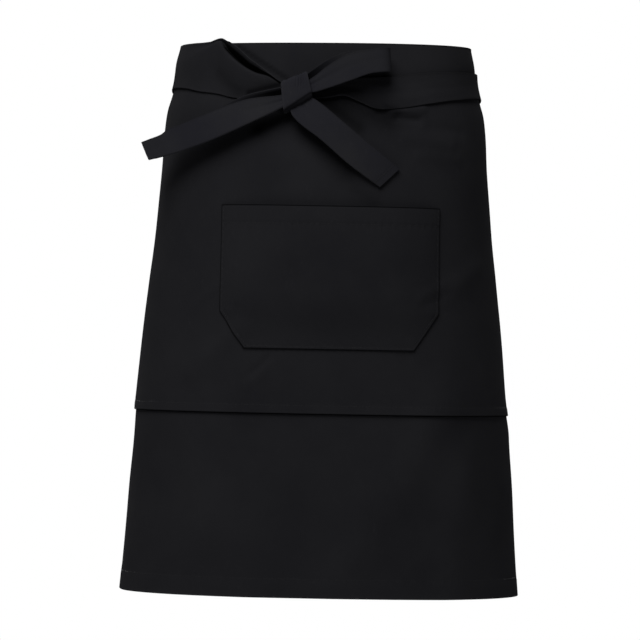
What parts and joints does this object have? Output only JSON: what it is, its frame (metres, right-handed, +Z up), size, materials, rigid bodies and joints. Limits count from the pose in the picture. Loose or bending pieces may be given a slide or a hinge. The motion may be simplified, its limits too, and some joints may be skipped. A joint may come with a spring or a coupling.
{
  "type": "waist apron",
  "caption": "Mid-length waist apron in worn form, open behind, with a patch pocket and wrapped ties knotted in a bow at the front.",
  "frame": {"origin": "middle of the waist at the height of the ties, where a wearer's waist carries the apron", "axes": "+Z up along the apron's length, -Y towards the front with the pocket and the bow, +X towards the viewer's right"},
  "size_m": [0.4408, 0.2858, 0.6038],
  "materials": {
    "panel_cloth": "black cotton and polyester twill, matt",
    "tie_cloth": "the same black twill, folded and pressed, matt"
  },
  "bodies": {
    "root": {"upper_panel": "panel_cloth", "lower_panel": "panel_cloth", "patch_pocket": "panel_cloth", "tie_left_wrap": "tie_cloth", "tie_right_wrap": "tie_cloth", "tie_knot": "tie_cloth", "tie_bow_loop": "tie_cloth", "tie_left_tail": "tie_cloth", "tie_right_tail": "tie_cloth"}
  },
  "joints": []
}
